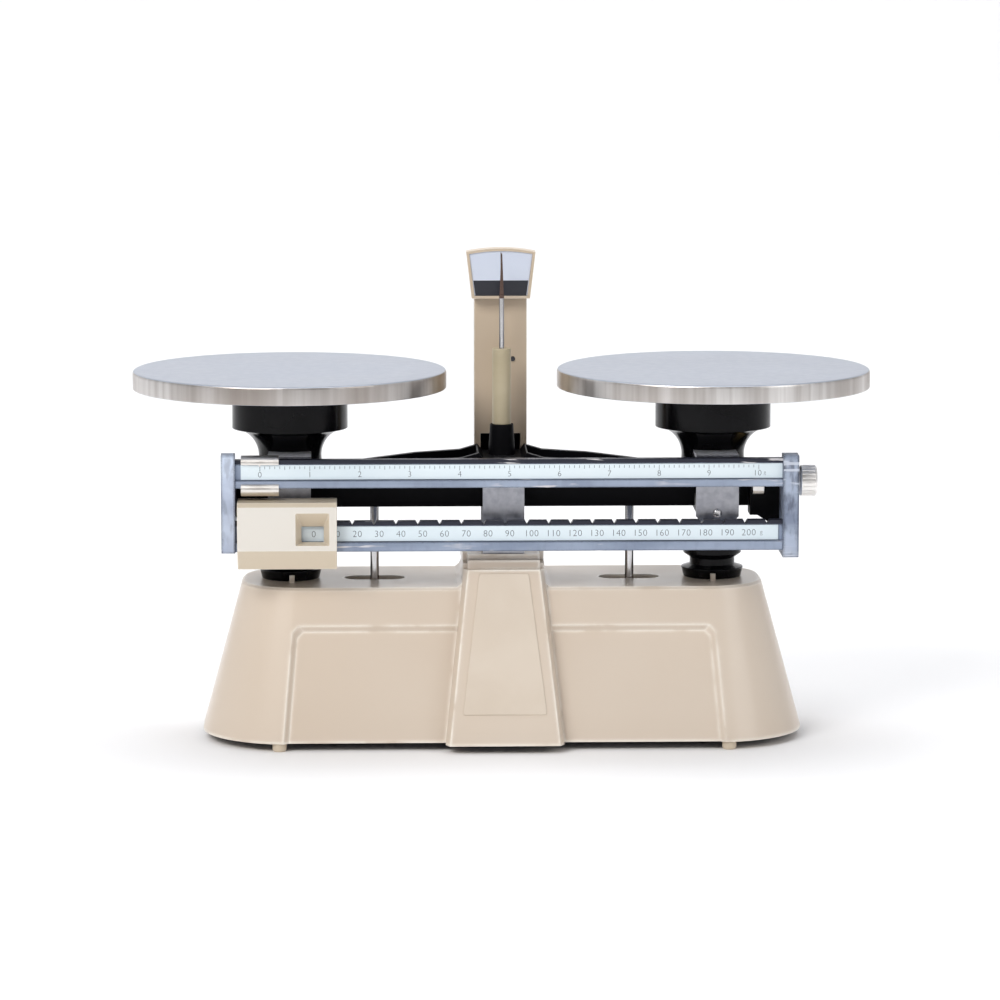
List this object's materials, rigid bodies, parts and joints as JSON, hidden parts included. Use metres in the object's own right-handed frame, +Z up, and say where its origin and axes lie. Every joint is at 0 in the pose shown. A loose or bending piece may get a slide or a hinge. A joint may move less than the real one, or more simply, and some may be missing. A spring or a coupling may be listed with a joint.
{
  "type": "trip balance",
  "caption": "Equal-arm school trip balance: flat pans on a knife-edge beam with a plain and a notched rider rail, pointer and index post on a tapered cast base.",
  "frame": {"origin": "on the table, centred under the balance, below the centre knife edge", "axes": "+X to the reader's right along the beam, +Y to the back, +Z up; the front is -Y"},
  "size_m": [0.3576, 0.152, 0.2358],
  "materials": {
    "base_paint": "glossy enamel",
    "cover": "satin",
    "screws": "satin",
    "foot": "satin",
    "plate": "gloss",
    "black_plastic": "gloss",
    "bracket": "brushed",
    "hard_steel": "ground",
    "index": "satin",
    "dark_screw": "blackened",
    "lever": "zinc plated",
    "beam_paint": "gloss black",
    "sleeve": "satin",
    "plated": "bright",
    "rail": "anodised",
    "scale": "satin",
    "end_plate": "satin",
    "rubber": "matte",
    "brass": "cast",
    "knob": "nickel",
    "small_rider": "polished",
    "rider": "satin enamel",
    "spring": "spring temper",
    "strap": "brushed",
    "pan": "brushed",
    "yoke": "gloss black"
  },
  "bodies": {
    "base": {"base_casing": "base_paint", "bottom_cover": "cover", "cover_screws": "screws", "feet": "foot", "name_plate": "plate", "stem_collars": "black_plastic", "collar_nuts": "black_plastic", "centre_bracket": "bracket", "bracket_screws": "screws", "centre_bearings": "hard_steel", "index_post": "base_paint", "post_back_plate": "beam_paint", "index_plate": "index", "post_screws": "dark_screw", "check_bracket": "bracket", "check_pivot_pin": "hard_steel"},
    "beam": {"beam_casting": "beam_paint", "centre_knife": "hard_steel", "end_knives": "hard_steel", "pointer_sleeve": "sleeve", "pointer_rod": "plated", "upper_rail": "rail", "lower_rail": "rail", "upper_scale": "scale", "lower_scale": "scale", "left_end_plate": "end_plate", "right_end_plate": "end_plate", "end_plate_screws": "screws", "stop_rods": "plated", "stop_buffers": "rubber", "stop_nuts": "screws", "counterweight": "brass"},
    "lever": {"check_lever": "lever"},
    "knob": {"zero_knob": "knob", "zero_spindle": "plated"},
    "poise": {"zero_poise": "knob"},
    "fine_rider": {"small_rider": "small_rider"},
    "coarse_rider": {"rider_case": "rider", "rider_back_plate": "rider", "rider_weights": "brass", "detent_spring": "spring", "rider_screws": "screws"},
    "support_left": {"stirrup_left": "strap", "stirrup_bearings_left": "hard_steel", "yoke_left": "yoke", "yoke_rivets_left": "plated", "stem_left": "plated", "stem_pin_left": "hard_steel", "pan_seat_left": "black_plastic", "seat_screws_left": "screws"},
    "plate_left": {"pan_left": "pan"},
    "support_right": {"stirrup_right": "strap", "stirrup_bearings_right": "hard_steel", "yoke_right": "yoke", "yoke_rivets_right": "plated", "stem_right": "plated", "stem_pin_right": "hard_steel", "pan_seat_right": "black_plastic", "seat_screws_right": "screws"},
    "plate_right": {"pan_right": "pan"}
  },
  "joints": [
    {"name": "beam_tilt", "type": "hinge", "parent": "base", "child": "beam", "pos_m": [0, 0, 0.128], "axis": [0, 1, 0], "range_deg": [-5, 5]},
    {"name": "lever_tilt", "type": "hinge", "parent": "base", "child": "lever", "pos_m": [0, 0.0055, 0.025], "axis": [0, 1, 0], "range_deg": [-5, 5]},
    {"name": "zero_turn", "type": "hinge", "parent": "beam", "child": "knob", "pos_m": [0.14, -0.033, 0.1276], "axis": [1, 0, 0], "range_deg": [-1085, 1085]},
    {"name": "poise_slide", "type": "slide", "parent": "beam", "child": "poise", "axis": [1, 0, 0], "range_m": [-0.003, 0.003]},
    {"name": "fine_slide", "type": "slide", "parent": "beam", "child": "fine_rider", "axis": [1, 0, 0], "range_m": [0, 0.2381]},
    {"name": "coarse_slide", "type": "slide", "parent": "beam", "child": "coarse_rider", "axis": [1, 0, 0], "range_m": [0, 0.209], "deforming": ["detent_spring"]},
    {"name": "support_left_level", "type": "hinge", "parent": "beam", "child": "support_left", "pos_m": [-0.1028, 0, 0.128], "axis": [0, 1, 0], "range_deg": [-5, 5]},
    {"name": "pan_left_lift", "type": "slide", "parent": "support_left", "child": "plate_left", "axis": [0, 0, 1], "range_m": [0, 0.03]},
    {"name": "support_right_level", "type": "hinge", "parent": "beam", "child": "support_right", "pos_m": [0.1028, 0, 0.128], "axis": [0, 1, 0], "range_deg": [-5, 5]},
    {"name": "pan_right_lift", "type": "slide", "parent": "support_right", "child": "plate_right", "axis": [0, 0, 1], "range_m": [0, 0.03]}
  ],
  "couplings": [
    {"joint": "lever_tilt", "follows": "beam_tilt", "ratio": 1},
    {"joint": "zero_turn", "follows": "poise_slide", "rad_per_m": 6283.2},
    {"joint": "support_left_level", "follows": "beam_tilt", "ratio": -1},
    {"joint": "support_right_level", "follows": "beam_tilt", "ratio": -1}
  ]
}
